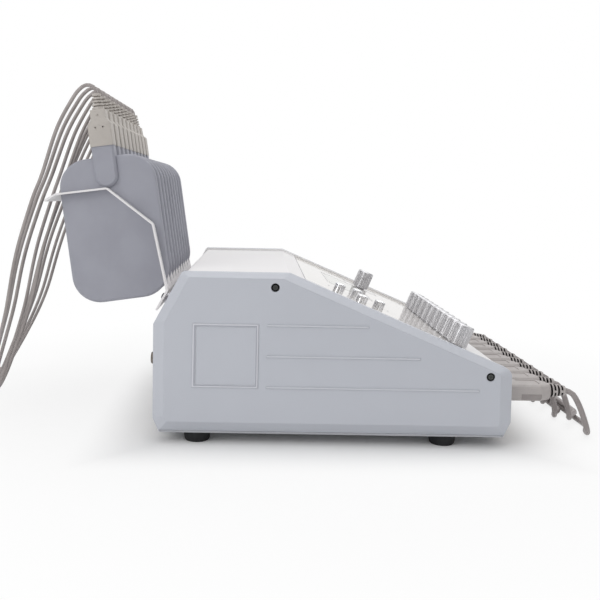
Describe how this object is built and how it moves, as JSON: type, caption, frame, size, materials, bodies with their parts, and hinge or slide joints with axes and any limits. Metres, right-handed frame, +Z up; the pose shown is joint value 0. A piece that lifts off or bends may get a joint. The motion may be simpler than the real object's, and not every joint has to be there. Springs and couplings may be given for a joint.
{
  "type": "electrotherapy console with electrode pads",
  "caption": "Wedge-shaped desktop stimulator console with a sloping panel of ribbed knobs, moulded output plugs and a slotted rear rack of cabled electrode pads.",
  "frame": {"origin": "middle of the footprint of housing and rack, on the table", "axes": "+X from the left cheek to the right cheek, +Y from the control panel to the rear, +Z up"},
  "size_m": [0.5238, 0.839, 0.3674],
  "materials": {
    "cheek": "fine moulded texture, light grey",
    "cover": "white powder coat",
    "tray": "zinc plated sheet",
    "black_screw": "black oxide",
    "foot": "matte black rubber",
    "steel_screw": "plain steel",
    "overlay": "glossy off-white film",
    "window": "clear smoked window",
    "board": "green solder mask",
    "pot": "plain metal case",
    "socket": "tinned shell",
    "core": "lacquered core",
    "inlet": "black moulding",
    "fuse": "knurled metal cap",
    "rack": "white powder coat",
    "plug": "moulded warm grey",
    "cable": "grey PVC jacket",
    "tie": "black strap",
    "lead": "soft grey lead",
    "connector": "moulded beige grey",
    "rocker": "black",
    "knob": "satin silver, fluted",
    "button": "polished",
    "pad": "grey silicone",
    "pad_plug": "moulded beige"
  },
  "bodies": {
    "console": {"left_cheek": "cheek", "right_cheek": "cheek", "top_cover": "cover", "base_tray": "tray", "cheek_screws": "black_screw", "rubber_feet": "foot", "foot_screws": "steel_screw", "panel_overlay": "overlay", "display_window": "window", "control_board": "board", "potentiometers": "pot", "output_sockets": "socket", "main_board": "board", "transformer": "core", "mains_inlet": "inlet", "fuse_holder": "fuse", "pad_rack": "rack", "rack_fixings": "steel_screw", "output_plugs": "plug", "output_cables": "cable", "cable_coil": "cable", "coil_ties": "tie", "pad_leads": "lead", "inline_connectors": "connector"},
    "power_rocker": {"power_rocker": "rocker"},
    "program_knob": {"program_knob": "knob"},
    "channel_knob_1": {"channel_knob_1": "knob"},
    "channel_knob_2": {"channel_knob_2": "knob"},
    "channel_knob_3": {"channel_knob_3": "knob"},
    "channel_knob_4": {"channel_knob_4": "knob"},
    "channel_knob_5": {"channel_knob_5": "knob"},
    "channel_knob_6": {"channel_knob_6": "knob"},
    "channel_knob_7": {"channel_knob_7": "knob"},
    "channel_knob_8": {"channel_knob_8": "knob"},
    "channel_knob_9": {"channel_knob_9": "knob"},
    "channel_knob_10": {"channel_knob_10": "knob"},
    "up_button": {"up_button": "button"},
    "down_button": {"down_button": "button"},
    "left_button": {"left_button": "button"},
    "right_button": {"right_button": "button"},
    "pad_1": {"pad_1": "pad", "pad_plug_1": "pad_plug"},
    "pad_2": {"pad_2": "pad", "pad_plug_2": "pad_plug"},
    "pad_3": {"pad_3": "pad", "pad_plug_3": "pad_plug"},
    "pad_4": {"pad_4": "pad", "pad_plug_4": "pad_plug"},
    "pad_5": {"pad_5": "pad", "pad_plug_5": "pad_plug"},
    "pad_6": {"pad_6": "pad", "pad_plug_6": "pad_plug"},
    "pad_7": {"pad_7": "pad", "pad_plug_7": "pad_plug"},
    "pad_8": {"pad_8": "pad", "pad_plug_8": "pad_plug"},
    "pad_9": {"pad_9": "pad", "pad_plug_9": "pad_plug"},
    "pad_10": {"pad_10": "pad", "pad_plug_10": "pad_plug"}
  },
  "joints": [
    {"name": "power_rocker_tilt", "type": "hinge", "parent": "console", "child": "power_rocker", "pos_m": [0.07, 0.1147, 0.062], "axis": [1, 0, 0], "range_deg": [-16, 0]},
    {"name": "program_knob_turn", "type": "hinge", "parent": "console", "child": "program_knob", "pos_m": [0.103, -0.12055, 0.12681], "axis": [0, -0.385, 0.9229], "range_deg": [-150, 150]},
    {"name": "channel_knob_1_turn", "type": "hinge", "parent": "console", "child": "channel_knob_1", "pos_m": [-0.1287, -0.19734, 0.09478], "axis": [0, -0.385, 0.9229], "range_deg": [-150, 150]},
    {"name": "channel_knob_2_turn", "type": "hinge", "parent": "console", "child": "channel_knob_2", "pos_m": [-0.1001, -0.19734, 0.09478], "axis": [0, -0.385, 0.9229], "range_deg": [-150, 150]},
    {"name": "channel_knob_3_turn", "type": "hinge", "parent": "console", "child": "channel_knob_3", "pos_m": [-0.0715, -0.19734, 0.09478], "axis": [0, -0.385, 0.9229], "range_deg": [-150, 150]},
    {"name": "channel_knob_4_turn", "type": "hinge", "parent": "console", "child": "channel_knob_4", "pos_m": [-0.0429, -0.19734, 0.09478], "axis": [0, -0.385, 0.9229], "range_deg": [-150, 150]},
    {"name": "channel_knob_5_turn", "type": "hinge", "parent": "console", "child": "channel_knob_5", "pos_m": [-0.0143, -0.19734, 0.09478], "axis": [0, -0.385, 0.9229], "range_deg": [-150, 150]},
    {"name": "channel_knob_6_turn", "type": "hinge", "parent": "console", "child": "channel_knob_6", "pos_m": [0.0143, -0.19734, 0.09478], "axis": [0, -0.385, 0.9229], "range_deg": [-150, 150]},
    {"name": "channel_knob_7_turn", "type": "hinge", "parent": "console", "child": "channel_knob_7", "pos_m": [0.0429, -0.19734, 0.09478], "axis": [0, -0.385, 0.9229], "range_deg": [-150, 150]},
    {"name": "channel_knob_8_turn", "type": "hinge", "parent": "console", "child": "channel_knob_8", "pos_m": [0.0715, -0.19734, 0.09478], "axis": [0, -0.385, 0.9229], "range_deg": [-150, 150]},
    {"name": "channel_knob_9_turn", "type": "hinge", "parent": "console", "child": "channel_knob_9", "pos_m": [0.1001, -0.19734, 0.09478], "axis": [0, -0.385, 0.9229], "range_deg": [-150, 150]},
    {"name": "channel_knob_10_turn", "type": "hinge", "parent": "console", "child": "channel_knob_10", "pos_m": [0.1287, -0.19734, 0.09478], "axis": [0, -0.385, 0.9229], "range_deg": [-150, 150]},
    {"name": "up_button_press", "type": "slide", "parent": "console", "child": "up_button", "axis": [0, -0.385, 0.9229], "range_m": [-0.0015, 0], "stiffness_N_per_m": 250, "springref_m": 0.002},
    {"name": "down_button_press", "type": "slide", "parent": "console", "child": "down_button", "axis": [0, -0.385, 0.9229], "range_m": [-0.0015, 0], "stiffness_N_per_m": 250, "springref_m": 0.002},
    {"name": "left_button_press", "type": "slide", "parent": "console", "child": "left_button", "axis": [0, -0.385, 0.9229], "range_m": [-0.0015, 0], "stiffness_N_per_m": 250, "springref_m": 0.002},
    {"name": "right_button_press", "type": "slide", "parent": "console", "child": "right_button", "axis": [0, -0.385, 0.9229], "range_m": [-0.0015, 0], "stiffness_N_per_m": 250, "springref_m": 0.002},
    {"name": "pad_1_lift", "type": "slide", "parent": "console", "child": "pad_1", "axis": [0, 0.1495, 0.9888], "range_m": [0, 0.13], "deforming": ["pad_leads"]},
    {"name": "pad_2_lift", "type": "slide", "parent": "console", "child": "pad_2", "axis": [0, 0.1495, 0.9888], "range_m": [0, 0.13], "deforming": ["pad_leads"]},
    {"name": "pad_3_lift", "type": "slide", "parent": "console", "child": "pad_3", "axis": [0, 0.1495, 0.9888], "range_m": [0, 0.13], "deforming": ["pad_leads"]},
    {"name": "pad_4_lift", "type": "slide", "parent": "console", "child": "pad_4", "axis": [0, 0.1495, 0.9888], "range_m": [0, 0.13], "deforming": ["pad_leads"]},
    {"name": "pad_5_lift", "type": "slide", "parent": "console", "child": "pad_5", "axis": [0, 0.1495, 0.9888], "range_m": [0, 0.13], "deforming": ["pad_leads"]},
    {"name": "pad_6_lift", "type": "slide", "parent": "console", "child": "pad_6", "axis": [0, 0.1495, 0.9888], "range_m": [0, 0.13], "deforming": ["pad_leads"]},
    {"name": "pad_7_lift", "type": "slide", "parent": "console", "child": "pad_7", "axis": [0, 0.1495, 0.9888], "range_m": [0, 0.13], "deforming": ["pad_leads"]},
    {"name": "pad_8_lift", "type": "slide", "parent": "console", "child": "pad_8", "axis": [0, 0.1495, 0.9888], "range_m": [0, 0.13], "deforming": ["pad_leads"]},
    {"name": "pad_9_lift", "type": "slide", "parent": "console", "child": "pad_9", "axis": [0, 0.1495, 0.9888], "range_m": [0, 0.13], "deforming": ["pad_leads"]},
    {"name": "pad_10_lift", "type": "slide", "parent": "console", "child": "pad_10", "axis": [0, 0.1495, 0.9888], "range_m": [0, 0.13], "deforming": ["pad_leads"]}
  ]
}
